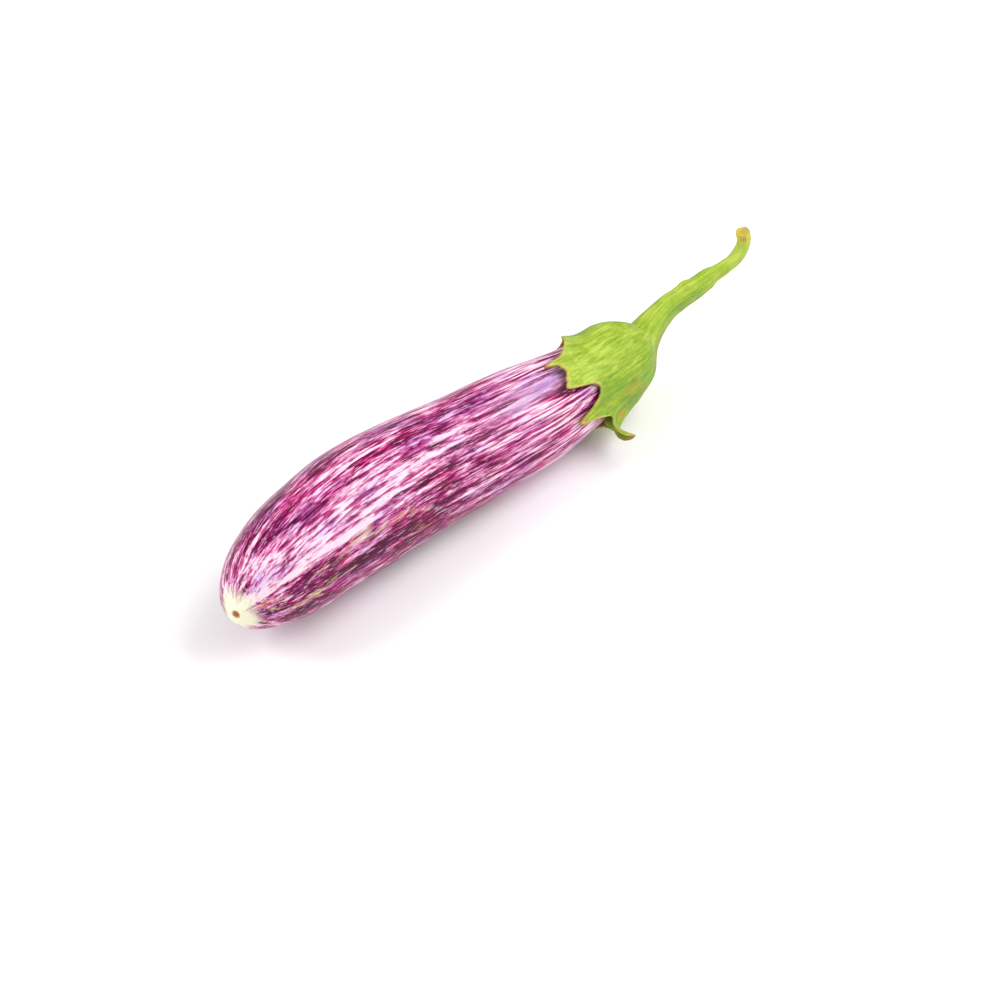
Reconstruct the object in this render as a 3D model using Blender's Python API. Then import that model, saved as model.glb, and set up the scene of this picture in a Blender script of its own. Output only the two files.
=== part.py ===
"""A striped eggplant lying on its side, with its green calyx and the cut stem that it hung from.

Metres, +Z up. The fruit lies along X with its blossom end at -X and its stem at +X. The origin
is the middle of the small flat spot under the belly that it rests on.

Angles round the fruit are in degrees: 0 is the +Y side, 90 the top, 180 the -Y side, 270 below.
"""
import bisect
import math

import bmesh
import bpy
from mathutils import Vector

# The fruit's length: the blossom pole and the stem pole along X
BLOSSOM_X = -0.1040
STEM_X = 0.1053

# The radius of the body at stations along X, before its two ends are rounded off
BODY_STATIONS = (BLOSSOM_X, -0.067, -0.036, 0.005, 0.045, 0.080, STEM_X)
BODY_RADII = (0.0212, 0.0211, 0.0230, 0.0215, 0.0198, 0.0153, 0.0147)
BLOSSOM_ROUND = 0.0462    # length of the long rounded blossom end
STEM_ROUND = 0.0190       # length of the blunt rounded stem end

# The middle line: a long upward bow, a sideways bend towards the blossom, a turn at the stem
AXIS_HEIGHT = 0.0206
AXIS_SLOPE = -0.039
AXIS_BOW_RADIUS = 1.2
BEND_START_X = -0.0044
BEND_Y = -0.0218
BEND_Z = -0.0031
TURN_START_X = 0.045
TURN_END_X = 0.113
TURN_Y = 0.0032
TURN_Z = 0.0021

# The skin's slight unevenness: a rounded five-sided section that grows stronger at the stem
FLUTES = 5
FLUTE_TURN = 56.0
FLUTE_AT_STEM = 0.00035
FLUTE_AT_BLOSSOM = 0.00010
SCAR_DEPTH = 0.0006       # the blossom scar is a shallow dent at the pole

# The stem's middle line from the stem pole to the cut, and its radius along its length
STEM_LINE = (
    (0.1053, 0.0026, 0.0228), (0.1118, 0.0045, 0.0259), (0.1223, 0.0065, 0.0289),
    (0.1299, 0.0071, 0.0298), (0.1370, 0.0075, 0.0303), (0.1458, 0.0080, 0.0316),
    (0.1540, 0.0080, 0.0323), (0.1612, 0.0080, 0.0336), (0.1653, 0.0080, 0.0368),
    (0.1665, 0.0080, 0.0408), (0.1655, 0.0080, 0.0451),
)
STEM_STATIONS = (0.0, 0.009, 0.018, 0.032, 0.037, 0.042, 0.048, 0.060, 0.074)
STEM_RADII = (0.0075, 0.0060, 0.0049, 0.0044, 0.0044, 0.0040, 0.0030, 0.0027, 0.0028)
STEM_RIDGES = 5
STEM_RIDGE_HEIGHT = 0.00018
CUT_HOLLOW = 0.0004       # the dried cut sinks a little in its middle

# The calyx's rim: angle, distance from the stem pole along the skin, how far the edge has curled
# away from the skin in degrees, and the shares of the way to the rim where that curl begins and ends
CALYX_RIM = (
    (5, 0.0430, 8, 0.68, 1.0), (18, 0.0375, 10, 0.68, 1.0), (30, 0.0355, 14, 0.68, 1.0),
    (43, 0.0365, 20, 0.68, 1.0), (60, 0.0415, 28, 0.68, 1.0), (72, 0.0440, 28, 0.68, 1.0),
    (83, 0.0480, 25, 0.68, 1.0), (93, 0.0540, 18, 0.68, 1.0), (98, 0.0630, 11, 0.68, 1.0),
    (103, 0.0570, 13, 0.68, 1.0), (113, 0.0575, 17, 0.68, 1.0), (123, 0.0610, 18, 0.68, 1.0),
    (128, 0.0620, 16, 0.68, 1.0), (133, 0.0550, 8, 0.68, 1.0), (138, 0.0480, 5, 0.68, 1.0),
    (146, 0.0450, 4, 0.68, 1.0), (155, 0.0470, 4, 0.68, 1.0), (163, 0.0535, 4, 0.68, 1.0),
    (168, 0.0610, 5, 0.68, 1.0), (173, 0.0560, 7, 0.68, 1.0), (178, 0.0500, 10, 0.66, 1.0),
    (186, 0.0445, 18, 0.64, 1.0), (191, 0.0465, 40, 0.70, 1.0), (195, 0.0560, 100, 0.74, 0.86),
    (198, 0.0590, 115, 0.73, 0.83), (201, 0.0560, 105, 0.73, 0.86), (205, 0.0455, 48, 0.66, 1.0),
    (211, 0.0410, 30, 0.50, 1.0), (222, 0.0390, 20, 0.32, 1.0), (236, 0.0390, 12, 0.40, 1.0),
    (246, 0.0430, 6, 0.60, 1.0), (258, 0.0510, 2, 0.68, 1.0), (268, 0.0450, 2, 0.68, 1.0),
    (283, 0.0400, 4, 0.68, 1.0), (296, 0.0480, 6, 0.68, 1.0), (308, 0.0590, 8, 0.68, 1.0),
    (319, 0.0500, 8, 0.68, 1.0), (332, 0.0410, 10, 0.68, 1.0), (343, 0.0460, 12, 0.68, 1.0),
    (353, 0.0530, 9, 0.68, 1.0),
)
CALYX_GAP = 0.0004        # clear space between the calyx and the skin
CALYX_THICK_AT_CROWN = 0.0023
CALYX_THICK_AT_RIM = 0.0012
CALYX_RIB_HEIGHT = 0.00020
CALYX_RIBS = 10
CROWN_FILLET_FOOT = 0.0095     # where the stem's flare meets the cap, from the stem pole
CROWN_FILLET_TOP = 0.0065      # how far up the stem the flare begins
CROWN_FILLET_PULL = 0.0026
CALYX_THINNING = 1.5      # how soon the thickness falls from the crown to the rim
EDGE_ROUNDING = 0.4       # share of the rim's thickness over which its edge rounds off

# Mesh divisions
FRUIT_RINGS = 48
FRUIT_COLUMNS = 48
CALYX_COLUMNS = 72
FIRST_COLUMN = 3.0        # turns the columns so that one runs down each lobe's tip
CUT_RINGS = 2
STEM_RINGS = 25
FILLET_RINGS = 4
OUTER_RINGS = 13
INNER_RINGS = 9
CROWN_CROWDING = 1.3      # draws the inner rings together where the skin bends most
MERIDIAN_STEPS = 600
ROUTE_STEPS = 12          # short steps between two points of the stem's middle line
FLARE_STEP = 0.002        # distance up the stem that gives the flare its direction there

FRUIT_COLOUR = (0.32, 0.05, 0.16, 1.0)
CALYX_COLOUR = (0.28, 0.42, 0.05, 1.0)


def share(value, start, end):
    """How far value is from start to end, held between 0 and 1."""
    return min(max((value - start) / (end - start), 0.0), 1.0)


def smooth_curve(value, stations, heights):
    """Height at value of a smooth curve through the points that never overshoots them."""
    last = len(stations) - 2
    i = min(max(bisect.bisect_right(stations, value) - 1, 0), last)
    rises = [(heights[k + 1] - heights[k]) / (stations[k + 1] - stations[k])
             for k in range(len(stations) - 1)]

    def slope(k):
        if k == 0:
            return rises[0]
        if k == last + 1:
            return rises[last]
        before, after = rises[k - 1], rises[k]
        return 2 * before * after / (before + after) if before * after > 0 else 0.0

    span = stations[i + 1] - stations[i]
    t = (value - stations[i]) / span
    return ((1 + 2 * t) * (1 - t) ** 2 * heights[i] + t * (1 - t) ** 2 * span * slope(i)
            + t * t * (3 - 2 * t) * heights[i + 1] + t * t * (t - 1) * span * slope(i + 1))


def axis_point(x):
    """The fruit's middle line at x."""
    bend = max((BEND_START_X - x) / (BEND_START_X - BLOSSOM_X), 0.0)
    turn = max((x - TURN_START_X) / (TURN_END_X - TURN_START_X), 0.0)
    y = BEND_Y * bend ** 2 + TURN_Y * turn ** 2
    z = AXIS_HEIGHT + AXIS_SLOPE * x + x * x / (2 * AXIS_BOW_RADIUS)
    return Vector((x, y, z + BEND_Z * bend ** 2 + TURN_Z * turn ** 2))


def cross_axes(direction):
    """The +Y side and the upper side of a section square to direction."""
    upper = direction.cross(Vector((0, 1, 0))).normalized()
    return upper.cross(direction), upper


def axis_frame(x, step=0.0001):
    """The middle line's direction at x, and the two axes of its section."""
    along = (axis_point(x + step) - axis_point(x - step)).normalized()
    side, upper = cross_axes(along)
    return along, side, upper


def fruit_radius(x):
    """Radius at x of the plain round fruit, with both ends rounded off."""
    blossom = 1 - share(x, BLOSSOM_X, BLOSSOM_X + BLOSSOM_ROUND)
    stem = share(x, STEM_X - STEM_ROUND, STEM_X)
    body = smooth_curve(x, BODY_STATIONS, BODY_RADII)
    return body * math.sqrt(1 - blossom ** 2) * math.sqrt(1 - stem ** 2)


def flute(x, angle):
    """How far the skin stands out of the plain round section."""
    along = share(x, BLOSSOM_X, STEM_X)
    height = FLUTE_AT_BLOSSOM + (FLUTE_AT_STEM - FLUTE_AT_BLOSSOM) * along ** 2
    ends = fruit_radius(x) / max(BODY_RADII)
    return height * ends * math.cos(FLUTES * math.radians(angle - FLUTE_TURN))


def outward(side, upper, angle):
    """The direction away from the middle line at an angle round it."""
    turn = math.radians(angle)
    return side * math.cos(turn) + upper * math.sin(turn)


def fruit_point(along, angle):
    """A point of the skin: along runs from 0 at the blossom pole to 1 at the stem pole."""
    x = BLOSSOM_X + (STEM_X - BLOSSOM_X) * (1 - math.cos(math.pi * along)) / 2
    direction, side, upper = axis_frame(x)
    point = axis_point(x) + outward(side, upper, angle) * (fruit_radius(x) + flute(x, angle))
    if along == 0:
        point += direction * SCAR_DEPTH
    point.z = max(point.z, 0.0)
    return point


def meridian_table():
    """Stations from the stem pole to the blossom, with their distance along the skin."""
    rows = [(0.0, STEM_X, 0.0)]
    for k in range(1, MERIDIAN_STEPS + 1):
        x = STEM_X + (BLOSSOM_X - STEM_X) * (1 - math.cos(math.pi / 2 * k / MERIDIAN_STEPS))
        radius = fruit_radius(x)
        distance, last_x, last_radius = rows[-1]
        rows.append((distance + math.hypot(x - last_x, radius - last_radius), x, radius))
    return rows


MERIDIAN = meridian_table()
MERIDIAN_DISTANCES = [row[0] for row in MERIDIAN]


def on_meridian(distance):
    """Station, radius and outward slope (along, across) of the skin at a distance."""
    k = min(max(bisect.bisect_left(MERIDIAN_DISTANCES, distance), 1), len(MERIDIAN) - 1)
    (start, x0, r0), (end, x1, r1) = MERIDIAN[k - 1], MERIDIAN[k]
    t = share(distance, start, end)
    length = math.hypot(x1 - x0, r1 - r0)
    return x0 + (x1 - x0) * t, r0 + (r1 - r0) * t, (r1 - r0) / length, (x0 - x1) / length


def above_skin(distance, angle, height):
    """A point at a height over the skin, at a distance from the stem pole."""
    x, radius, lean, stand = on_meridian(distance)
    direction, side, upper = axis_frame(x)
    reach = radius + flute(x, angle) + stand * height
    return axis_point(x) + direction * (lean * height) + outward(side, upper, angle) * reach


def rim_value(angle, column):
    """Smooth value round the rim of one column of the rim's table."""
    wrapped = (CALYX_RIM[-1],) + CALYX_RIM + (CALYX_RIM[0],)
    angles = [row[0] for row in wrapped]
    angles[0] -= 360
    angles[-1] += 360
    values = [row[column] for row in wrapped]
    return smooth_curve((angle - angles[0]) % 360 + angles[0], angles, values)


def calyx_thickness(way):
    """Thickness of the calyx from the crown at 0 to the rim at 1."""
    more_at_crown = CALYX_THICK_AT_CROWN - CALYX_THICK_AT_RIM
    return CALYX_THICK_AT_RIM + more_at_crown * (1 - way) ** CALYX_THINNING


def calyx_sheet(way, angle, depth):
    """A point of the calyx: way 0 at the stem pole to 1 at the rim, depth 0 inside to 1 outside."""
    length = rim_value(angle, 1)
    turned = math.radians(rim_value(angle, 2))
    start = rim_value(angle, 3) * length
    curl_run = rim_value(angle, 4) * length - start
    beyond = max(way * length - start, 0.0)
    curled = min(beyond, curl_run)
    bend = turned / curl_run
    theta = bend * curled
    if theta > 0.001:
        distance = start + math.sin(theta) / bend + (beyond - curled) * math.cos(theta)
        height = CALYX_GAP + (1 - math.cos(theta)) / bend + (beyond - curled) * math.sin(theta)
    else:
        distance = way * length
        height = CALYX_GAP
    rib = CALYX_RIB_HEIGHT * math.cos(CALYX_RIBS * math.radians(angle - FIRST_COLUMN - 5))
    thickness = depth * (calyx_thickness(way) + rib * math.sin(math.pi * way))
    distance -= math.sin(theta) * thickness
    height += math.cos(theta) * thickness
    return above_skin(distance, angle, height)


def stem_route():
    """Points close together on a smooth curve through the stem's middle line, with distances."""
    points = [Vector(p) for p in STEM_LINE]
    ends = [2 * points[0] - points[1]] + points + [2 * points[-1] - points[-2]]
    route = []
    for a, b, c, d in zip(ends, ends[1:], ends[2:], ends[3:]):
        for k in range(ROUTE_STEPS):
            t = k / ROUTE_STEPS
            route.append(0.5 * (2 * b + (c - a) * t + (2 * a - 5 * b + 4 * c - d) * t ** 2
                                + (3 * b - a - 3 * c + d) * t ** 3))
    route.append(points[-1])
    distances = [0.0]
    for a, b in zip(route, route[1:]):
        distances.append(distances[-1] + (b - a).length)
    return route, distances


ROUTE, ROUTE_DISTANCES = stem_route()
STEM_LENGTH = ROUTE_DISTANCES[-1]


def stem_point(distance, angle, shrink=1.0):
    """A point of the stem's bark at a distance from the stem pole."""
    k = min(max(bisect.bisect_left(ROUTE_DISTANCES, distance), 1), len(ROUTE) - 1)
    t = share(distance, ROUTE_DISTANCES[k - 1], ROUTE_DISTANCES[k])
    middle = ROUTE[k - 1].lerp(ROUTE[k], t)
    low, high = max(k - 3, 0), min(k + 2, len(ROUTE) - 1)
    side, upper = cross_axes((ROUTE[high] - ROUTE[low]).normalized())
    ridge = STEM_RIDGE_HEIGHT * math.cos(STEM_RIDGES * math.radians(angle - FIRST_COLUMN))
    radius = smooth_curve(distance, STEM_STATIONS, STEM_RADII) + ridge
    return middle + outward(side, upper, angle) * radius * shrink


def crown_point(t, angle):
    """The flare between the stem at 0 and the cap at 1, a curve that leaves both smoothly."""
    foot_way = CROWN_FILLET_FOOT / rim_value(angle, 1)
    top = stem_point(CROWN_FILLET_TOP, angle)
    foot = calyx_sheet(foot_way, angle, 1)
    down = (top - stem_point(CROWN_FILLET_TOP + FLARE_STEP, angle)).normalized()
    inward = (foot - calyx_sheet(foot_way * 1.1, angle, 1)).normalized()
    near_top = top + down * CROWN_FILLET_PULL
    near_foot = foot + inward * CROWN_FILLET_PULL
    s = 1 - t
    return s ** 3 * top + 3 * s * s * t * near_top + 3 * s * t * t * near_foot + t ** 3 * foot


def calyx_rings():
    """One function of the angle for each ring, from the middle of the cut to under the cap."""
    rings = []
    for k in range(CUT_RINGS):
        shrink = k / CUT_RINGS
        hollow = CUT_HOLLOW * (1 - shrink ** 2)
        rings.append(lambda a, s=shrink, h=hollow: stem_point(STEM_LENGTH - h, a, s))
    for k in range(STEM_RINGS):
        distance = STEM_LENGTH + (CROWN_FILLET_TOP - STEM_LENGTH) * k / STEM_RINGS
        rings.append(lambda a, d=distance: stem_point(d, a))
    for k in range(FILLET_RINGS):
        rings.append(lambda a, t=k / FILLET_RINGS: crown_point(t, a))
    for k in range(OUTER_RINGS):
        rings.append(lambda a, t=k / (OUTER_RINGS - 1): calyx_sheet(outer_way(t, a), a, 1))
    rings.append(lambda a: calyx_sheet(1, a, 0.5))
    for k in range(INNER_RINGS):
        t = (1 - k / INNER_RINGS) ** CROWN_CROWDING
        rings.append(lambda a, t=t: calyx_sheet(rim_way(a) * t, a, 0))
    rings.append(lambda a: above_skin(0, a, 2 * CALYX_GAP))
    return rings


def rim_way(angle):
    """Share of the way to the rim where the rounding of the edge begins."""
    return 1 - EDGE_ROUNDING * CALYX_THICK_AT_RIM / rim_value(angle, 1)


def outer_way(t, angle):
    """Share of the way to the rim, for t from 0 at the flare's foot to 1 at the edge's rounding."""
    foot = CROWN_FILLET_FOOT / rim_value(angle, 1)
    return foot + (rim_way(angle) - foot) * t


def material(name, colour, roughness):
    """A plain Principled material."""
    made = bpy.data.materials.new(name)
    made.use_nodes = True
    made.diffuse_color = colour
    shader = made.node_tree.nodes["Principled BSDF"]
    shader.inputs["Base Color"].default_value = colour
    shader.inputs["Roughness"].default_value = roughness
    return made


def shaped_ball(name, columns, rings, place, surface):
    """A closed piece: a ball whose points are placed by their ring and angle, stem end first."""
    mesh = bpy.data.meshes.new(name)
    work = bmesh.new()
    bmesh.ops.create_uvsphere(work, u_segments=columns, v_segments=rings, radius=1)
    step = 360 / columns
    for vert in work.verts:
        ring = round(math.acos(max(-1.0, min(1.0, vert.co.z))) / math.pi * rings)
        pole = ring in (0, rings)
        column = 0 if pole else round(math.degrees(math.atan2(vert.co.y, vert.co.x)) / step)
        vert.co = place(ring, column * step)
    bmesh.ops.triangulate(work, faces=work.faces)
    work.to_mesh(mesh)
    work.free()
    mesh.shade_smooth()
    mesh.materials.append(surface)
    return bpy.data.objects.new(name, mesh)


def make_fruit():
    """The fruit's body, closed by one skin and flat only where it rests."""
    surface = material("glossy_striped_skin", FRUIT_COLOUR, 0.28)
    return shaped_ball("fruit", FRUIT_COLUMNS, FRUIT_RINGS,
                       lambda ring, angle: fruit_point(1 - ring / FRUIT_RINGS, angle), surface)


def make_calyx():
    """The cap with its lobes and the stem, grown as one piece."""
    rings = calyx_rings()
    surface = material("green_calyx", CALYX_COLOUR, 0.55)
    return shaped_ball("calyx_with_stem", CALYX_COLUMNS, len(rings) - 1,
                       lambda ring, angle: rings[ring](angle + FIRST_COLUMN), surface)


def main():
    for old in list(bpy.data.objects):
        bpy.data.objects.remove(old)
    collection = bpy.data.collections.new("eggplant")
    bpy.context.scene.collection.children.link(collection)
    for piece in (make_fruit(), make_calyx()):
        collection.objects.link(piece)


main()
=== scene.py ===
"""Looks of a striped eggplant lying on its side, with its green calyx and cut stem. Metres, +Z up.

Angles round the fruit are in degrees: 0 is the +Y side, 90 the top, 180 the -Y side, 270 below.
"""
import bisect
import math

import bmesh
import bpy
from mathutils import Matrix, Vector, noise


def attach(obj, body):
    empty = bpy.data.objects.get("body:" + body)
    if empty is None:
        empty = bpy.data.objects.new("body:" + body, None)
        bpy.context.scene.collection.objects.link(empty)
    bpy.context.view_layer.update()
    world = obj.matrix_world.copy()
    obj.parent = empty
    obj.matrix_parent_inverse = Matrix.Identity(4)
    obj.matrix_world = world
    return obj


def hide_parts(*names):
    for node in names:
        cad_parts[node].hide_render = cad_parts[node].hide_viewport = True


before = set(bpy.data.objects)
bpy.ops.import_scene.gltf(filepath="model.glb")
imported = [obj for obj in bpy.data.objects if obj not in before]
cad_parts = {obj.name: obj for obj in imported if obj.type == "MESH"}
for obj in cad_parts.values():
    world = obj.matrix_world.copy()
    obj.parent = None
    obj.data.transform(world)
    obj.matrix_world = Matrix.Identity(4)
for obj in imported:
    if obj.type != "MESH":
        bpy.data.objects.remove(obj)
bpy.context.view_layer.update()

CM = 100.0
MM = 1000.0

# The view of the photograph
CAMERA_ELEVATION = 40.0
CAMERA_AZIMUTH = -41.29
CAMERA_DISTANCE = 0.870
CAMERA_AIM = (0.0216, -0.0118, 0.0)
CAMERA_LENS_MM = 85.0
CAMERA_SENSOR_MM = 36.0

# The fruit's length, its radius at stations along X, and the rounding of its two ends
BLOSSOM_X = -0.1040
STEM_X = 0.1053
BODY_STATIONS = (BLOSSOM_X, -0.067, -0.036, 0.005, 0.045, 0.080, STEM_X)
BODY_RADII = (0.0212, 0.0211, 0.0230, 0.0215, 0.0198, 0.0153, 0.0147)
BLOSSOM_ROUND = 0.0462
STEM_ROUND = 0.0190

# The middle line: a long upward bow, a sideways bend towards the blossom, a turn at the stem
AXIS_HEIGHT = 0.0206
AXIS_SLOPE = -0.039
AXIS_BOW_RADIUS = 1.2
BEND_START_X = -0.0044
BEND_Y = -0.0218
BEND_Z = -0.0031
TURN_START_X = 0.045
TURN_END_X = 0.113
TURN_Y = 0.0032
TURN_Z = 0.0021

# The skin's unevenness: a rounded five-sided section, and the creases that start under the calyx
FLUTES = 5
FLUTE_TURN = 56.0
FLUTE_AT_STEM = 0.00035
FLUTE_AT_BLOSSOM = 0.00010
CREASES = (
    # angle at the calyx, drift in degrees a metre, depth, half width in degrees, length
    (139.5, -330.0, 0.00090, 2.6, 0.075), (118.0, -160.0, 0.00035, 3.0, 0.080),
    (101.0, -120.0, 0.00035, 2.6, 0.060), (156.0, -200.0, 0.00035, 2.2, 0.055),
    (170.0, -160.0, 0.00050, 2.6, 0.065), (187.0, -80.0, 0.00035, 3.0, 0.050),
    (78.0, 60.0, 0.00035, 3.0, 0.070), (40.0, 90.0, 0.00045, 3.0, 0.070),
    (5.0, -90.0, 0.00045, 3.0, 0.060), (327.0, 110.0, 0.00045, 3.0, 0.065),
    (285.0, -100.0, 0.00035, 3.0, 0.060), (215.0, 100.0, 0.00045, 3.0, 0.065),
    (248.0, -60.0, 0.00035, 3.0, 0.055),
)
CREASE_START = 0.036
CREASE_REACH = 3
DENT_DEPTH = 0.00022
DENT_SIZE = 0.016
SCAR_DEPTH = 0.0007
SCAR_RADIUS = 0.0022

# The patterns' places: how far they run round the fruit and the calyx, and how fast the fruit's
# streaks narrow towards its ends
SKIN_ROUND = 2.1
SKIN_NARROWING = 0.35
CALYX_ROUND = 1.3

# The stem's middle line from the stem pole to the cut, and its radius along its length
STEM_LINE = (
    (0.1053, 0.0026, 0.0228), (0.1118, 0.0045, 0.0259), (0.1223, 0.0065, 0.0289),
    (0.1299, 0.0071, 0.0298), (0.1370, 0.0075, 0.0303), (0.1458, 0.0080, 0.0316),
    (0.1540, 0.0080, 0.0323), (0.1612, 0.0080, 0.0336), (0.1653, 0.0080, 0.0368),
    (0.1665, 0.0080, 0.0408), (0.1655, 0.0080, 0.0451),
)
STEM_STATIONS = (0.0, 0.009, 0.018, 0.032, 0.037, 0.042, 0.048, 0.060, 0.074)
STEM_RADII = (0.0075, 0.0060, 0.0049, 0.0044, 0.0044, 0.0040, 0.0030, 0.0027, 0.0028)
STEM_RIDGES = 5
STEM_FIRST_RIDGE = 3.0
STEM_RIDGE_HEIGHT = 0.00018
STEM_WRINKLE = 0.00016
STEM_WRINKLE_SPAN = 90
STEM_WRINKLE_NOISE = (1.6, 4.1, 0.6)
STEM_KNUCKLES = (
    # distance from the stem pole, angle, half length, height
    (0.0315, 75.0, 0.0030, 0.0008), (0.0385, 75.0, 0.0035, -0.0007),
    (0.0430, 255.0, 0.0025, 0.0006),
)
CUT_HOLLOW = 0.0004

# The calyx's rim: angle, distance from the stem pole along the skin, how far the edge has curled
# away from the skin in degrees, and the shares of the way to the rim between which it curls
CALYX_RIM = (
    (5, 0.0430, 8, 0.68, 1.0), (18, 0.0375, 10, 0.68, 1.0), (30, 0.0355, 14, 0.68, 1.0),
    (43, 0.0365, 20, 0.68, 1.0), (60, 0.0415, 28, 0.68, 1.0), (72, 0.0440, 28, 0.68, 1.0),
    (83, 0.0480, 25, 0.68, 1.0), (93, 0.0540, 18, 0.68, 1.0), (98, 0.0630, 11, 0.68, 1.0),
    (103, 0.0570, 13, 0.68, 1.0), (113, 0.0575, 17, 0.68, 1.0), (123, 0.0610, 18, 0.68, 1.0),
    (128, 0.0620, 16, 0.68, 1.0), (133, 0.0550, 8, 0.68, 1.0), (138, 0.0480, 5, 0.68, 1.0),
    (146, 0.0450, 4, 0.68, 1.0), (155, 0.0470, 4, 0.68, 1.0), (163, 0.0535, 4, 0.68, 1.0),
    (168, 0.0610, 5, 0.68, 1.0), (173, 0.0560, 7, 0.68, 1.0), (178, 0.0500, 10, 0.66, 1.0),
    (186, 0.0445, 18, 0.64, 1.0), (191, 0.0465, 40, 0.70, 1.0), (195, 0.0560, 100, 0.74, 0.86),
    (198, 0.0590, 115, 0.73, 0.83), (201, 0.0560, 105, 0.73, 0.86), (205, 0.0455, 48, 0.66, 1.0),
    (211, 0.0410, 30, 0.50, 1.0), (222, 0.0390, 20, 0.32, 1.0), (236, 0.0390, 12, 0.40, 1.0),
    (246, 0.0430, 6, 0.60, 1.0), (258, 0.0510, 2, 0.68, 1.0), (268, 0.0450, 2, 0.68, 1.0),
    (283, 0.0400, 4, 0.68, 1.0), (296, 0.0480, 6, 0.68, 1.0), (308, 0.0590, 8, 0.68, 1.0),
    (319, 0.0500, 8, 0.68, 1.0), (332, 0.0410, 10, 0.68, 1.0), (343, 0.0460, 12, 0.68, 1.0),
    (353, 0.0530, 9, 0.68, 1.0),
)
CALYX_GAP = 0.0004
CALYX_THICK_AT_CROWN = 0.0023
CALYX_THICK_AT_RIM = 0.0010
CALYX_THINNING = 1.5
CALYX_RIB_HEIGHT = 0.00020
CALYX_RIBS = 10
CALYX_FIRST_RIB = 8.0
CALYX_VEIN_HEIGHT = 0.00022
CALYX_VEIN_ROUND = 7
CALYX_VEIN_SPAN = 1.3
CALYX_VEIN_NOISE = (3.1, 6.7, 0.7)
CALYX_VEIN_FADE = 0.12
CALYX_RAGGED = 0.0011
CALYX_RAGGED_NOISE = (9, 27, 0.6)
CROWN_FILLET_FOOT = 0.0095
CROWN_FILLET_TOP = 0.0065
CROWN_FILLET_PULL = 0.0026
FLARE_STEP = 0.002
FLARE_FOOT_STEP = 1.1

# Mesh divisions, and how far they crowd together towards the ends
FRUIT_RINGS = 340
FRUIT_COLUMNS = 264
CALYX_COLUMNS = 384
CUT_RINGS = 8
STEM_RINGS = 84
FILLET_RINGS = 10
OUTER_RINGS = 72
EDGE_RINGS = 6
INNER_RINGS = 44
CUT_CROWDING = 0.8
CROWN_CROWDING = 1.3
FRUIT_CROWDING = 0.4
MERIDIAN_STEPS = 1200
MERIDIAN_SLOPE_STEP = 0.0001
ROUTE_STEPS = 24
ROUTE_REACH = 5
LEAST_CURL = 0.001
WELD = 1e-7

# Colours of the skin, from its palest to its deepest, and what lies over them
SKIN_COLOURS = (
    (0.00, (0.84, 0.66, 0.75)), (0.18, (0.71, 0.40, 0.55)), (0.38, (0.52, 0.125, 0.31)),
    (0.56, (0.33, 0.026, 0.15)), (0.76, (0.15, 0.005, 0.060)), (1.00, (0.062, 0.002, 0.023)),
)
HOT_TINT = (1.45, 0.55, 1.05)
VIOLET_TINT = (0.74, 0.70, 1.0)
LILAC = (0.50, 0.29, 0.50)
SCRATCH_PINK = (0.82, 0.56, 0.71)
PALE_OCHRE = (0.80, 0.66, 0.46)
DEEP_OCHRE = (0.65, 0.37, 0.15)
TIP_CREAM = (0.90, 0.88, 0.66)
SCAR_BROWN = (0.36, 0.13, 0.02)

# Colours of the calyx and the stem, from the darkest green to the lightest, and what lies over them
GREENS = (
    (0.05, (0.11, 0.23, 0.012)), (0.34, (0.20, 0.33, 0.012)), (0.62, (0.295, 0.42, 0.020)),
    (0.95, (0.45, 0.56, 0.075)),
)
# Painted shade: the dark green laid on the side of the calyx and stem away from the light
PAINTED_SHADE_GREEN = (0.11, 0.28, 0.030)
WARM_OCHRE = (0.45, 0.24, 0.035)
DRY_YELLOW = (0.58, 0.50, 0.090)
DRY_BROWN = (0.33, 0.19, 0.04)
CUT_YELLOW = (0.60, 0.57, 0.060)
CUT_BROWN = (0.36, 0.22, 0.045)
CUT_FACE = (0.50, 0.34, 0.07)
FLOOR_WHITE = (0.93, 0.93, 0.93)
ROOM_WHITE = (1.0, 1.0, 1.0)

# Angles round the fruit that parts of its colouring face
# Painted highlight: the skin is painted paler round this angle, where the key light's highlight
# falls
PAINTED_HIGHLIGHT_SIDE = 124.0
# Painted shade: the skin is painted deeper the further it turns from this angle
PAINTED_SHADE_SIDE = 126.0
LILAC_FACET = 114.0
SPECKLED_SIDE = 178.0
# Painted light: the calyx and stem are painted lighter round this angle
PAINTED_LIGHT_SIDE = 105.0
# Painted shade: the calyx and stem are painted darker green round this angle
PAINTED_CALYX_SHADE_SIDE = 212.0
WITHERED_LOBES = 116.0


def share(value, start, end):
    """How far value is from start to end, held between 0 and 1."""
    return min(max((value - start) / (end - start), 0.0), 1.0)


def eased(value, start, end):
    """As share, but leaving and arriving gently."""
    t = share(value, start, end)
    return t * t * (3 - 2 * t)


def smooth_curve(value, stations, heights):
    """The height at a value, on a smooth curve that never overshoots its points."""
    last = len(stations) - 2
    i = min(max(bisect.bisect_right(stations, value) - 1, 0), last)

    def rise(k):
        return (heights[k + 1] - heights[k]) / (stations[k + 1] - stations[k])

    def slope(k):
        if k == 0:
            return rise(0)
        if k == last + 1:
            return rise(last)
        before, after = rise(k - 1), rise(k)
        return 2 * before * after / (before + after) if before * after > 0 else 0.0

    span = stations[i + 1] - stations[i]
    t = (value - stations[i]) / span
    return ((1 + 2 * t) * (1 - t) ** 2 * heights[i] + t * (1 - t) ** 2 * span * slope(i)
            + t * t * (3 - 2 * t) * heights[i + 1] + t * t * (t - 1) * span * slope(i + 1))


def two_noises(place, coarse, fine, fine_share):
    """Coarse noise at a place with a share of finer noise."""
    return noise.noise(place * coarse) + fine_share * noise.noise(place * fine)


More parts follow.
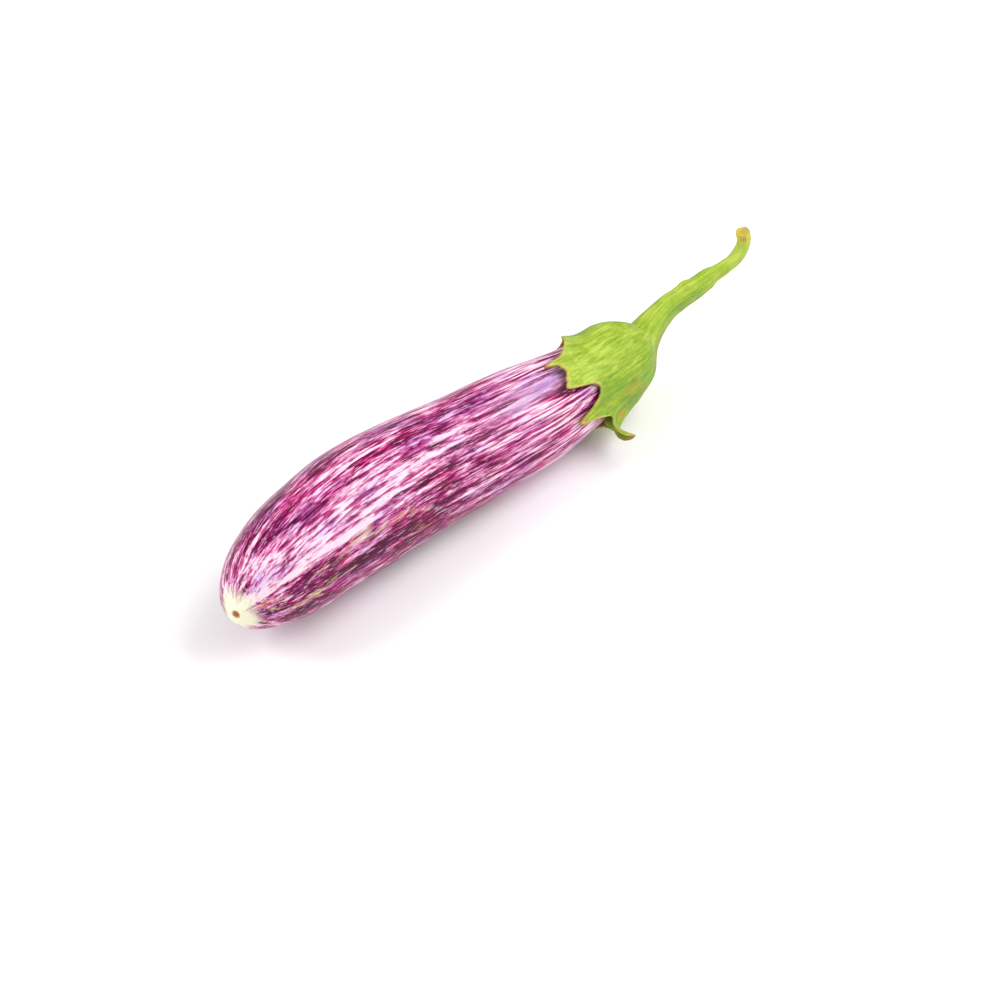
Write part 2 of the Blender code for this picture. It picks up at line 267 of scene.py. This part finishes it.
def axis_point(x):
    """The fruit's middle line at x."""
    bend = max((BEND_START_X - x) / (BEND_START_X - BLOSSOM_X), 0.0)
    turn = max((x - TURN_START_X) / (TURN_END_X - TURN_START_X), 0.0)
    y = BEND_Y * bend ** 2 + TURN_Y * turn ** 2
    z = AXIS_HEIGHT + AXIS_SLOPE * x + x * x / (2 * AXIS_BOW_RADIUS)
    return Vector((x, y, z + BEND_Z * bend ** 2 + TURN_Z * turn ** 2))


def cross_axes(direction):
    """The +Y side and the upper side of a section square to direction."""
    upper = direction.cross(Vector((0, 1, 0))).normalized()
    return upper.cross(direction), upper


def fruit_radius(x):
    """Radius at x of the plain round fruit, with both ends rounded off."""
    blossom = 1 - share(x, BLOSSOM_X, BLOSSOM_X + BLOSSOM_ROUND)
    stem = share(x, STEM_X - STEM_ROUND, STEM_X)
    body = smooth_curve(x, BODY_STATIONS, BODY_RADII)
    return body * math.sqrt(1 - blossom ** 2) * math.sqrt(1 - stem ** 2)


def meridian_table():
    """Rows from the stem pole to the blossom pole: distance along the skin, the section there."""
    step = MERIDIAN_SLOPE_STEP
    rows = []
    last_x, last_radius, distance = STEM_X, 0.0, 0.0
    for k in range(MERIDIAN_STEPS + 1):
        x = STEM_X + (BLOSSOM_X - STEM_X) * (1 - math.cos(math.pi * k / MERIDIAN_STEPS)) / 2
        radius = fruit_radius(x)
        distance += math.hypot(x - last_x, radius - last_radius)
        along = (axis_point(x + step) - axis_point(x - step)).normalized()
        rows.append((distance, x, radius, axis_point(x), along, *cross_axes(along)))
        last_x, last_radius = x, radius
    return rows


MERIDIAN = meridian_table()
MERIDIAN_DISTANCES = [row[0] for row in MERIDIAN]
SKIN_LENGTH = MERIDIAN_DISTANCES[-1]


class Section:
    """The fruit's skin at a distance from the stem pole: centre, axes, radius and outward slope."""

    def __init__(self, distance):
        k = min(max(bisect.bisect_left(MERIDIAN_DISTANCES, distance), 1), MERIDIAN_STEPS)
        near, far = MERIDIAN[k - 1], MERIDIAN[k]
        t = share(distance, near[0], far[0])
        length = math.hypot(far[1] - near[1], far[2] - near[2])
        self.distance = distance
        self.radius = near[2] + (far[2] - near[2]) * t
        self.lean = (far[2] - near[2]) / length
        self.stand = (near[1] - far[1]) / length
        self.centre = near[3].lerp(far[3], t)
        self.direction, self.side, self.upper = (near[i].lerp(far[i], t) for i in (4, 5, 6))
        along = share(near[1], BLOSSOM_X, STEM_X)
        height = FLUTE_AT_BLOSSOM + (FLUTE_AT_STEM - FLUTE_AT_BLOSSOM) * along ** 2
        self.flute = height * self.radius / max(BODY_RADII)

    def point(self, column, height):
        """A point of the skin on a column, moved out by a height."""
        away = self.side * column.cos + self.upper * column.sin
        reach = self.radius + (self.flute * column.flute + height) * self.stand
        return self.centre + away * reach + self.direction * (self.lean * height)


def angle_between(a, b):
    """The smaller angle from b to a in degrees, with its sign."""
    return (a - b + 180) % 360 - 180


class Column:
    """One angle round the fruit, the calyx and the stem, with what all points there share."""

    def __init__(self, angle):
        self.angle = angle
        turn = math.radians(angle)
        self.cos, self.sin = math.cos(turn), math.sin(turn)
        self.flute = math.cos(FLUTES * math.radians(angle - FLUTE_TURN))


def skin_lines(section, column):
    """Place on the skin in centimetres: across the fruit in X and Y, from the tip in Z.

    A pattern that is long in Z runs along the fruit, as its streaks do."""
    round_size = SKIN_ROUND * (section.radius / max(BODY_RADII)) ** SKIN_NARROWING
    from_tip = CM * (SKIN_LENGTH - section.distance)
    return Vector((round_size * column.cos, round_size * column.sin, from_tip))


def crease_depth(distance, angle):
    """How deep the lengthwise creases cut in that start under the calyx and run out on the body."""
    depth = 0.0
    run = max(distance - CREASE_START, 0.0)
    for start, drift, deepest, half_width, length in CREASES:
        off = angle_between(angle, start + drift * run) / half_width
        if run < length and abs(off) < CREASE_REACH:
            depth += deepest * (1 - eased(run, 0, length)) * math.exp(-off * off)
    return depth


def skin_point(section, column, crease):
    """A point of the fruit's skin with its creases, dents and the sunk scar."""
    from_tip = SKIN_LENGTH - section.distance
    plain = section.point(column, 0.0)
    dent = DENT_DEPTH * (noise.noise(plain / DENT_SIZE) - 0.5) * eased(from_tip, 0, DENT_SIZE)
    scar = SCAR_DEPTH * (1 - eased(from_tip, 0, SCAR_RADIUS))
    point = section.point(column, dent - crease) + section.direction * scar
    point.z = max(point.z, 0.0)
    return point


def rim_value(angle, column):
    """Smooth value round the rim of one column of the rim's table."""
    wrapped = (CALYX_RIM[-1],) + CALYX_RIM + (CALYX_RIM[0],)
    angles = [row[0] for row in wrapped]
    angles[0] -= 360
    angles[-1] += 360
    values = [row[column] for row in wrapped]
    return smooth_curve((angle - angles[0]) % 360 + angles[0], angles, values)


class CalyxColumn(Column):
    """The calyx along one angle, from the stem pole to the rim, with what its points share."""

    def __init__(self, angle):
        super().__init__(angle)
        self.round = Vector((self.cos, self.sin, 0))
        ragged = two_noises(self.round, *CALYX_RAGGED_NOISE)
        self.length = rim_value(angle, 1) + CALYX_RAGGED * min(ragged, 0.0)
        self.start = rim_value(angle, 3) * self.length
        self.curl_run = rim_value(angle, 4) * self.length - self.start
        self.bend = math.radians(rim_value(angle, 2)) / self.curl_run
        self.foot = CROWN_FILLET_FOOT / self.length
        self.edge = 1 - 0.5 * CALYX_THICK_AT_RIM / self.length
        self.rib = CALYX_RIB_HEIGHT * math.cos(CALYX_RIBS * math.radians(angle - CALYX_FIRST_RIB))
        ridge_turn = STEM_RIDGES * math.radians(angle - STEM_FIRST_RIDGE)
        self.stem_ridge = STEM_RIDGE_HEIGHT * math.cos(ridge_turn)
        self.flare = self.crown_flare()

    def relief(self, way):
        """Ribs and fine veins along the sepals."""
        place = self.round * CALYX_VEIN_ROUND + Vector((0, 0, way * CALYX_VEIN_SPAN))
        height = self.rib + CALYX_VEIN_HEIGHT * two_noises(place, *CALYX_VEIN_NOISE)
        return height * math.sin(math.pi * min(way + CALYX_VEIN_FADE, 1.0))

    def point(self, way, depth):
        """A point of the sheet: way is 0 at the stem pole and 1 at the rim, depth 1 outside."""
        beyond = max(way * self.length - self.start, 0.0)
        curled = min(beyond, self.curl_run)
        theta = self.bend * curled
        if theta > LEAST_CURL:
            distance = (self.start + math.sin(theta) / self.bend
                        + (beyond - curled) * math.cos(theta))
            height = (CALYX_GAP + (1 - math.cos(theta)) / self.bend
                      + (beyond - curled) * math.sin(theta))
        else:
            distance = way * self.length
            height = CALYX_GAP
        if depth:
            more_at_crown = CALYX_THICK_AT_CROWN - CALYX_THICK_AT_RIM
            thick = CALYX_THICK_AT_RIM + more_at_crown * (1 - way) ** CALYX_THINNING
            thick = depth * (thick + self.relief(way))
            distance -= math.sin(theta) * thick
            height += math.cos(theta) * thick
        return Section(distance).point(self, height)

    def crown_flare(self):
        """The four points that steer the flare between the stem and the cap."""
        top = StemRing(CROWN_FILLET_TOP).point(self)
        foot = self.point(self.foot, 1)
        down = (top - StemRing(CROWN_FILLET_TOP + FLARE_STEP).point(self)).normalized()
        inward = (foot - self.point(self.foot * FLARE_FOOT_STEP, 1)).normalized()
        return top, top + down * CROWN_FILLET_PULL, foot + inward * CROWN_FILLET_PULL, foot

    def crown_point(self, t):
        """A point of the flare, from the stem at 0 to the cap at 1."""
        a, b, c, d = self.flare
        s = 1 - t
        return s ** 3 * a + 3 * s * s * t * b + 3 * s * t * t * c + t ** 3 * d


def stem_route():
    """Points close together on a smooth curve through the stem's middle line, with distances."""
    points = [Vector(p) for p in STEM_LINE]
    ends = [2 * points[0] - points[1]] + points + [2 * points[-1] - points[-2]]
    route = []
    for a, b, c, d in zip(ends, ends[1:], ends[2:], ends[3:]):
        for k in range(ROUTE_STEPS):
            t = k / ROUTE_STEPS
            route.append(0.5 * (2 * b + (c - a) * t + (2 * a - 5 * b + 4 * c - d) * t ** 2
                                + (3 * b - a - 3 * c + d) * t ** 3))
    route.append(points[-1])
    distances = [0.0]
    for a, b in zip(route, route[1:]):
        distances.append(distances[-1] + (b - a).length)
    return route, distances


ROUTE, ROUTE_DISTANCES = stem_route()
STEM_LENGTH = ROUTE_DISTANCES[-1]


class StemRing:
    """One ring of the stem's bark at a distance from the stem pole."""

    def __init__(self, distance):
        k = min(max(bisect.bisect_left(ROUTE_DISTANCES, distance), 1), len(ROUTE) - 1)
        t = share(distance, ROUTE_DISTANCES[k - 1], ROUTE_DISTANCES[k])
        self.middle = ROUTE[k - 1].lerp(ROUTE[k], t)
        low, high = max(k - 1 - ROUTE_REACH, 0), min(k + ROUTE_REACH, len(ROUTE) - 1)
        self.side, self.upper = cross_axes((ROUTE[high] - ROUTE[low]).normalized())
        self.distance = distance
        self.radius = smooth_curve(distance, STEM_STATIONS, STEM_RADII)
        self.place = Vector((0, 0, distance * STEM_WRINKLE_SPAN))

    def point(self, column, shrink=1.0):
        """A point of the bark on a column, or inside it where it shrinks."""
        wrinkle = two_noises(self.place + column.round, *STEM_WRINKLE_NOISE)
        bumps = sum(height * math.exp(-((self.distance - at) / long) ** 2)
                    * max(math.cos(math.radians(column.angle - angle)), 0.0) ** 2
                    for at, angle, long, height in STEM_KNUCKLES)
        radius = (self.radius + column.stem_ridge + bumps + STEM_WRINKLE * wrinkle) * shrink
        return self.middle + (self.side * column.cos + self.upper * column.sin) * radius


def calyx_rings():
    """For each ring from the middle of the cut to under the cap: a function of the column, and
    how far along the stem and out to the rim it lies."""
    rings = []
    for k in range(CUT_RINGS):
        shrink = (k / CUT_RINGS) ** CUT_CROWDING
        ring = StemRing(STEM_LENGTH - CUT_HOLLOW * (1 - shrink ** 2))
        rings.append((lambda c, r=ring, s=shrink: r.point(c, s), 1.0, 0.0))
    for k in range(STEM_RINGS):
        distance = STEM_LENGTH + (CROWN_FILLET_TOP - STEM_LENGTH) * k / STEM_RINGS
        rings.append((StemRing(distance).point, distance / STEM_LENGTH, 0.0))
    for k in range(FILLET_RINGS):
        t = k / FILLET_RINGS
        up_stem = (1 - t) * CROWN_FILLET_TOP / STEM_LENGTH
        rings.append((lambda c, t=t: c.crown_point(t), up_stem, 0.0))
    for k in range(OUTER_RINGS):
        t = k / (OUTER_RINGS - 1)
        rings.append((lambda c, t=t: c.point(c.foot + (c.edge - c.foot) * t, 1), 0.0, t))
    for k in range(1, EDGE_RINGS):
        turn = math.pi * k / EDGE_RINGS
        rings.append((lambda c, s=math.sin(turn), d=(1 + math.cos(turn)) / 2:
                      c.point(c.edge + (1 - c.edge) * s, d), 0.0, 1.0))
    for k in range(INNER_RINGS):
        t = (1 - k / INNER_RINGS) ** CROWN_CROWDING
        rings.append((lambda c, t=t: c.point(c.edge * t, 0), 0.0, t))
    pole = Section(0.0)
    inner_pole = pole.centre + pole.direction * 2 * CALYX_GAP
    rings.append((lambda c: inner_pole, 0.0, 0.0))
    return rings


def shaped_ball(name, columns, rings, place, layer_names):
    """A closed piece: a net rolled round and drawn together at both poles, the stem end last.

    place gives, for a ring and a column, a point and the vectors that the material reads."""
    mesh = bpy.data.meshes.new(name)
    work = bmesh.new()
    layers = [work.verts.layers.float_vector.new(layer_name) for layer_name in layer_names]
    bmesh.ops.create_grid(work, x_segments=columns, y_segments=rings, size=0.5)
    for vert in work.verts:
        column = round((vert.co.x + 0.5) * columns) % columns
        ring = rings - round((vert.co.y + 0.5) * rings)
        vert.co, *values = place(ring, 0 if ring in (0, rings) else column)
        for layer, value in zip(layers, values):
            vert[layer] = value
    bmesh.ops.remove_doubles(work, verts=work.verts, dist=WELD)
    work.to_mesh(mesh)
    work.free()
    mesh.shade_smooth()
    piece = bpy.data.objects.new(name, mesh)
    bpy.context.scene.collection.objects.link(piece)
    return piece


def make_fruit():
    """The fruit's skin from the stem pole to the blossom pole."""
    def distance(ring):
        t = ring / FRUIT_RINGS
        crowded = (1 - math.cos(math.pi * t)) / 2
        return SKIN_LENGTH * ((1 - FRUIT_CROWDING) * t + FRUIT_CROWDING * crowded)

    rings = [Section(distance(k)) for k in range(FRUIT_RINGS + 1)]
    columns = [Column(360 * k / FRUIT_COLUMNS) for k in range(FRUIT_COLUMNS)]

    def place(ring, column):
        section, c = rings[ring], columns[column]
        crease = crease_depth(section.distance, c.angle)
        # Z is the crease depth in millimetres, which the skin reads to paint shade into the creases
        facing = Vector((c.cos, c.sin, MM * crease))
        return skin_point(section, c, crease), skin_lines(section, c), facing

    return shaped_ball("striped_fruit", FRUIT_COLUMNS, FRUIT_RINGS, place,
                       ["skin_lines", "facing"])


def make_calyx():
    """The cap with its lobes and the stem, grown as one piece."""
    rings = calyx_rings()
    columns = [CalyxColumn(360 * k / CALYX_COLUMNS) for k in range(CALYX_COLUMNS)]

    def place(ring, column):
        make, up_stem, out = rings[ring]
        c = columns[column]
        along = CM * (out * c.length - up_stem * STEM_LENGTH)
        from_rim = CM * (1 - out) * c.length
        growth = Vector((CALYX_ROUND * c.cos, CALYX_ROUND * c.sin, along))
        return make(c), growth, Vector((up_stem, from_rim, 0))

    return shaped_ball("green_calyx_and_stem", CALYX_COLUMNS, len(rings) - 1, place,
                       ["growth", "edges"])


class Nodes:
    """Short ways to add and join a material's nodes."""

    def __init__(self, name):
        self.material = bpy.data.materials.new(name)
        self.material.use_nodes = True
        self.tree = self.material.node_tree
        self.shader = self.tree.nodes["Principled BSDF"]

    def link(self, source, target):
        self.tree.links.new(source, target)

    def add(self, kind, **settings):
        node = self.tree.nodes.new(kind)
        for key, value in settings.items():
            setattr(node, key, value)
        return node

    def put(self, socket, value):
        if isinstance(value, bpy.types.NodeSocket):
            self.link(value, socket)
        else:
            socket.default_value = value

    def finish(self, name, value):
        """Sets one number or colour of the shader."""
        self.put(self.shader.inputs[name], value)

    def attribute(self, name):
        return self.add("ShaderNodeAttribute", attribute_name=name).outputs["Vector"]

    def place(self):
        return self.add("ShaderNodeTexCoord").outputs["Object"]

    def axis(self, vector, name):
        node = self.add("ShaderNodeSeparateXYZ")
        self.link(vector, node.inputs["Vector"])
        return node.outputs[name]

    def noise(self, vector, scale, detail=2.0, roughness=0.5, distortion=0.0):
        node = self.add("ShaderNodeTexNoise")
        self.link(vector, node.inputs["Vector"])
        for name, number in (("Scale", scale), ("Detail", detail),
                             ("Roughness", roughness), ("Distortion", distortion)):
            node.inputs[name].default_value = number
        return node.outputs["Fac"]

    def streaks(self, vector, shorten, *noise_settings):
        """A noise drawn out along Z: the smaller shorten is, the longer its streaks."""
        node = self.add("ShaderNodeMapping")
        self.link(vector, node.inputs["Vector"])
        node.inputs["Scale"].default_value = (1.0, 1.0, shorten)
        return self.noise(node.outputs["Vector"], *noise_settings)

    def math(self, operation, a, b, clamp=False):
        node = self.add("ShaderNodeMath", operation=operation, use_clamp=clamp)
        self.put(node.inputs[0], a)
        self.put(node.inputs[1], b)
        return node.outputs[0]

    def total(self, first, *others, clamp=False):
        """The sum of values, held between 0 and 1 if clamp is set."""
        for k, value in enumerate(others):
            first = self.math("ADD", first, value, clamp and k == len(others) - 1)
        return first

    def product(self, first, *others):
        for value in others:
            first = self.math("MULTIPLY", first, value)
        return first

    def less(self, value, taken, clamp=False):
        return self.math("SUBTRACT", value, taken, clamp)

    def spread(self, value, width):
        """A noise centred on nothing, with its full width."""
        return self.product(self.less(value, 0.5), width)

    def between(self, value, low, high, to_low=0.0, to_high=1.0):
        """Turns the range low to high into to_low to to_high, with soft ends."""
        node = self.add("ShaderNodeMapRange", interpolation_type="SMOOTHSTEP")
        self.put(node.inputs["Value"], value)
        for name, number in (("From Min", low), ("From Max", high),
                             ("To Min", to_low), ("To Max", to_high)):
            node.inputs[name].default_value = number
        return node.outputs["Result"]

    def ramp(self, value, stops):
        node = self.add("ShaderNodeValToRGB")
        self.link(value, node.inputs["Fac"])
        ramp = node.color_ramp
        while len(ramp.elements) < len(stops):
            ramp.elements.new(0.5)
        for element, (position, colour) in zip(ramp.elements, stops):
            element.position = position
            element.color = (*colour, 1.0)
        return node.outputs["Color"]

    def mix(self, amount, a, b, blend="MIX"):
        node = self.add("ShaderNodeMix", data_type="RGBA", blend_type=blend)
        self.put(node.inputs["Factor"], amount)
        for socket, colour in ((node.inputs[6], a), (node.inputs[7], b)):
            plain = not isinstance(colour, bpy.types.NodeSocket)
            self.put(socket, (*colour, 1.0) if plain else colour)
        return node.outputs[2]

    def tinted(self, amount, colour, tint):
        """The colour, multiplied by a tint as far as amount says."""
        return self.mix(amount, colour, self.mix(1.0, colour, tint, "MULTIPLY"))

    def around(self, direction, angle):
        """Greatest where the surface lies at an angle round the fruit, least on the far side."""
        turn = math.radians(angle)
        node = self.add("ShaderNodeVectorMath", operation="DOT_PRODUCT")
        self.link(direction, node.inputs[0])
        node.inputs[1].default_value = (math.cos(turn), math.sin(turn), 0)
        return node.outputs["Value"]

    def bump(self, height, strength, distance):
        node = self.add("ShaderNodeBump")
        self.link(height, node.inputs["Height"])
        node.inputs["Strength"].default_value = strength
        node.inputs["Distance"].default_value = distance
        self.link(node.outputs["Normal"], self.shader.inputs["Normal"])


def skin_ink(n, facing, from_tip, noises):
    """How deeply the skin is coloured, from 0 where it is pale to 1 where it is plum, with a
    painted highlight on one side, painted shade on the sides turned away and painted shade in the
    creases.
    """
    bands, streaks, threads, hairs, breaks, long_lines = noises
    by_calyx = n.between(from_tip, 11.0, 16.5)
    # Painted highlight: paler skin round the side facing the key light, strongest towards the
    # blossom end
    painted_highlight = n.product(n.between(n.around(facing, PAINTED_HIGHLIGHT_SIDE), 0.84, 1.0),
                          n.between(from_tip, 10.0, 6.0, 0.16, 1.0))
    # Painted shade: deeper ink on the sides turned away from the key light, except near the calyx
    painted_shade = n.product(n.between(n.around(facing, PAINTED_SHADE_SIDE), 0.84, 0.3),
                          n.less(1.0, by_calyx))

    ink = n.total(n.spread(bands, 1.5), n.spread(streaks, 2.3),
                  n.spread(n.between(threads, 0.38, 0.62), 0.42),
                  n.spread(n.between(hairs, 0.40, 0.60), 0.15), n.spread(breaks, 1.3))
    ink = n.product(ink, n.less(1.0, n.product(by_calyx, 0.58)))
    lined = n.spread(n.between(long_lines, 0.38, 0.62), 0.95)
    lined = n.product(lined, n.total(n.product(by_calyx, 0.80), 0.30))
    # Painted shade in the creases: the ink deepens where the creases cut in
    painted_crease_shade = n.between(n.axis(facing, "Z"), 0.15, 0.60, 0.0, 0.42)
    ink = n.total(ink, lined, n.product(painted_shade, 0.08), painted_crease_shade)
    ink = n.total(n.less(ink, n.product(painted_highlight, 0.32)), 0.60)
    ink = n.less(ink, n.between(from_tip, 0.8, 3.2, 0.16, 0.0))
    ink = n.less(ink, n.between(from_tip, 11.5, 16.5, 0.0, 0.15), clamp=True)
    return n.product(ink, n.between(from_tip, 11.0, 16.5, 1.0, 0.80))


def striped_skin():
    """Glossy skin, pale pink under broken lengthwise streaks of lilac, magenta and plum."""
    n = Nodes("striped_skin")
    lines, facing = n.attribute("skin_lines"), n.attribute("facing")
    from_tip = n.axis(lines, "Z")
    bands = n.streaks(lines, 0.10, 1.25, 2.0, 0.5, 0.15)
    streaks = n.streaks(lines, 0.085, 4.6, 3.0, 0.55, 0.3)
    threads = n.streaks(lines, 0.10, 12.0, 3.0, 0.62, 0.3)
    hairs = n.streaks(lines, 0.10, 25.0, 2.0, 0.6, 0.2)
    breaks = n.streaks(lines, 0.22, 5.5, 3.0, 0.6, 0.5)
    long_lines = n.streaks(lines, 0.035, 9.0, 3.0, 0.6, 0.1)
    ink = skin_ink(n, facing, from_tip, (bands, streaks, threads, hairs, breaks, long_lines))
    colour = n.ramp(ink, SKIN_COLOURS)

    hot = n.between(n.streaks(lines, 0.25, 2.1, 3.0, 0.6), 0.46, 0.64, 0.0, 0.85)
    colour = n.tinted(n.product(hot, n.between(ink, 0.25, 0.50)), colour, HOT_TINT)
    facet = n.product(n.between(n.around(facing, LILAC_FACET), 0.965, 0.99),
                      n.between(from_tip, 12.0, 15.0),
                      n.between(streaks, 0.65, 0.40, 0.15, 0.85))
    colour = n.mix(facet, colour, LILAC)
    violet = n.between(n.streaks(lines, 0.3, 1.7, 2.0), 0.46, 0.66, 0.0, 0.75)
    colour = n.tinted(violet, colour, VIOLET_TINT)
    scratches = n.streaks(lines, 0.07, 21.0, 2.0, 0.5, 0.2)
    colour = n.mix(n.between(scratches, 0.59, 0.68, 0.0, 0.6), colour, SCRATCH_PINK)

    blotch = n.product(n.between(n.streaks(lines, 0.22, 2.9, 3.0, 0.6, 0.4), 0.56, 0.68),
                       n.between(n.around(facing, SPECKLED_SIDE), 0.72, 0.92),
                       n.between(from_tip, 12.0, 3.0, 0.2, 1.0),
                       n.between(threads, 0.50, 0.62, 0.8, 0.3))
    ochre = n.mix(n.between(breaks, 0.45, 0.6), PALE_OCHRE, DEEP_OCHRE)
    colour = n.mix(blotch, colour, ochre)

    cream = n.total(from_tip, n.spread(bands, 0.9), n.spread(breaks, 0.5))
    colour = n.mix(n.between(cream, 1.0, 0.40), colour, TIP_CREAM)
    scar = n.total(from_tip, n.spread(threads, 0.25))
    colour = n.mix(n.between(scar, 0.19, 0.10), colour, SCAR_BROWN)

    n.finish("Base Color", colour)
    n.finish("Roughness", n.between(ink, 0.1, 0.8, 0.36, 0.28))
    n.finish("Coat Weight", 0.06)
    n.finish("Coat Roughness", 0.16)
    n.finish("Specular IOR Level", 0.12)
    n.bump(n.total(n.product(threads, 0.5), streaks), 0.12, 0.0004)
    return n.material


def green_calyx():
    """Satin yellow-green with lengthwise fibres, with painted light on its upper side and painted
    shade on its far side, dry and yellow along the rim, ochre at the cut.
    """
    n = Nodes("green_calyx")
    growth, edges = n.attribute("growth"), n.attribute("edges")
    up_stem, from_rim = n.axis(edges, "X"), n.axis(edges, "Y")
    place = n.place()
    patches = n.noise(place, 105.0, 3.0, 0.6)
    grain = n.noise(place, 700.0, 3.0, 0.6)
    fibres = n.streaks(growth, 0.09, 6.0, 3.0, 0.6, 0.3)
    threads = n.streaks(growth, 0.10, 17.0, 3.0, 0.6, 0.2)
    wilt = n.streaks(growth, 0.05, 2.4, 2.0)

    # Painted light: lighter green on the side facing up towards the light
    painted_light = n.product(n.between(n.around(growth, PAINTED_LIGHT_SIDE), 0.95, CALYX_ROUND), 0.18)
    thin_stem = n.between(up_stem, 0.50, 0.85, 0.0, 0.24)
    light = n.total(n.spread(patches, 1.0), n.spread(fibres, 1.3), n.spread(threads, 1.3),
                    painted_light, thin_stem, 0.50, clamp=True)
    colour = n.ramp(light, GREENS)
    # Painted shade: patches of darker green on the side away from the light
    painted_calyx_shade = n.product(n.between(n.streaks(growth, 0.3, 1.9, 3.0), 0.38, 0.60, 0.0, 0.58),
                       n.between(n.around(growth, PAINTED_CALYX_SHADE_SIDE), 0.10, 1.20, 0.08, 1.0))
    colour = n.mix(painted_calyx_shade, colour, PAINTED_SHADE_GREEN)
    warm = n.product(n.between(n.streaks(growth, 0.4, 2.9, 3.0, 0.6, 0.3), 0.44, 0.62, 0.0, 0.85),
                     n.between(n.axis(growth, "Y"), 0.9, -1.1),
                     n.between(up_stem, 0.10, 0.35, 1.0, 0.35))
    colour = n.mix(warm, colour, WARM_OCHRE)

    withered = n.between(n.around(growth, WITHERED_LOBES), 1.14, 1.24, 0.0, 0.23)
    dry = n.total(from_rim, n.spread(patches, 0.75), n.spread(fibres, 0.5),
                  n.between(wilt, 0.42, 0.62, 0.0, 0.16))
    dry = n.less(dry, withered)
    colour = n.mix(n.between(dry, 0.22, 0.0, 0.0, 0.85), colour, DRY_YELLOW)
    brown = n.total(from_rim, n.spread(threads, 0.20), n.between(wilt, 0.44, 0.56, -0.05, 0.10))
    brown = n.less(brown, n.product(withered, 0.26))
    colour = n.mix(n.between(brown, 0.10, -0.05, 0.0, 0.85), colour, DRY_BROWN)

    cut = n.total(up_stem, n.spread(patches, 0.10))
    colour = n.mix(n.between(cut, 0.91, 0.99), colour, CUT_YELLOW)
    browned = n.product(n.between(patches, 0.45, 0.60), n.between(cut, 0.94, 0.99, 0.0, 0.60))
    colour = n.mix(browned, colour, CUT_BROWN)
    colour = n.mix(n.between(up_stem, 0.994, 1.0, 0.0, 0.4), colour, CUT_FACE)

    n.finish("Base Color", colour)
    n.finish("Roughness", n.between(grain, 0.3, 0.7, 0.42, 0.56))
    n.finish("Specular IOR Level", 0.25)
    n.finish("Sheen Weight", 0.05)
    n.finish("Sheen Roughness", 0.4)
    n.bump(n.total(grain, n.product(threads, 2.0)), 0.35, 0.0005)
    return n.material


def pale_floor():
    """A plain near-white floor."""
    n = Nodes("pale_floor")
    n.finish("Base Color", (*FLOOR_WHITE, 1.0))
    n.finish("Roughness", 0.9)
    n.finish("Specular IOR Level", 0.1)
    bpy.ops.mesh.primitive_plane_add(size=6.0, location=(0, 0, -0.0002))
    floor = bpy.context.object
    floor.name = "floor"
    floor.data.materials.append(n.material)


def area_light(name, place, aim, size, watts):
    """A soft square light that faces a point."""
    data = bpy.data.lights.new(name, "AREA")
    data.size = size
    data.energy = watts
    lamp = bpy.data.objects.new(name, data)
    lamp.location = place
    lamp.rotation_euler = (Vector(aim) - Vector(place)).to_track_quat("-Z", "Y").to_euler()
    bpy.context.scene.collection.objects.link(lamp)


def light_studio():
    """A white room with a large soft light in front and a smaller one behind, both from above."""
    world = bpy.data.worlds.new("studio")
    bpy.context.scene.world = world
    world.use_nodes = True
    background = world.node_tree.nodes["Background"]
    background.inputs["Color"].default_value = (*ROOM_WHITE, 1.0)
    background.inputs["Strength"].default_value = 0.56
    middle = (0, 0, 0.02)
    area_light("key", (0.50, -0.42, 0.70), middle, size=0.9, watts=8.5)
    area_light("back", (-0.60, 0.42, 0.66), middle, size=0.5, watts=5.5)


def add_camera():
    """The camera that looks down on the fruit as the photograph does."""
    elevation, azimuth = math.radians(CAMERA_ELEVATION), math.radians(CAMERA_AZIMUTH)
    back = Vector((math.sin(azimuth) * math.cos(elevation),
                   -math.cos(azimuth) * math.cos(elevation), math.sin(elevation)))
    data = bpy.data.cameras.new("camera")
    data.lens = CAMERA_LENS_MM
    data.sensor_fit = "HORIZONTAL"
    data.sensor_width = CAMERA_SENSOR_MM
    camera = bpy.data.objects.new("camera", data)
    camera.location = Vector(CAMERA_AIM) + back * CAMERA_DISTANCE
    camera.rotation_euler = (-back).to_track_quat("-Z", "Y").to_euler()
    bpy.context.scene.collection.objects.link(camera)
    bpy.context.scene.camera = camera


def finish_piece(piece, node, material):
    """Gives a piece its material, hangs it under the root body and hides the part of the node that
    it stands for.
    """
    piece.data.materials.append(material)
    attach(piece, "root")
    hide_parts(node)


bpy.context.scene.view_settings.view_transform = "Standard"
add_camera()
light_studio()
pale_floor()
finish_piece(make_fruit(), "fruit", striped_skin())
finish_piece(make_calyx(), "calyx_with_stem", green_calyx())
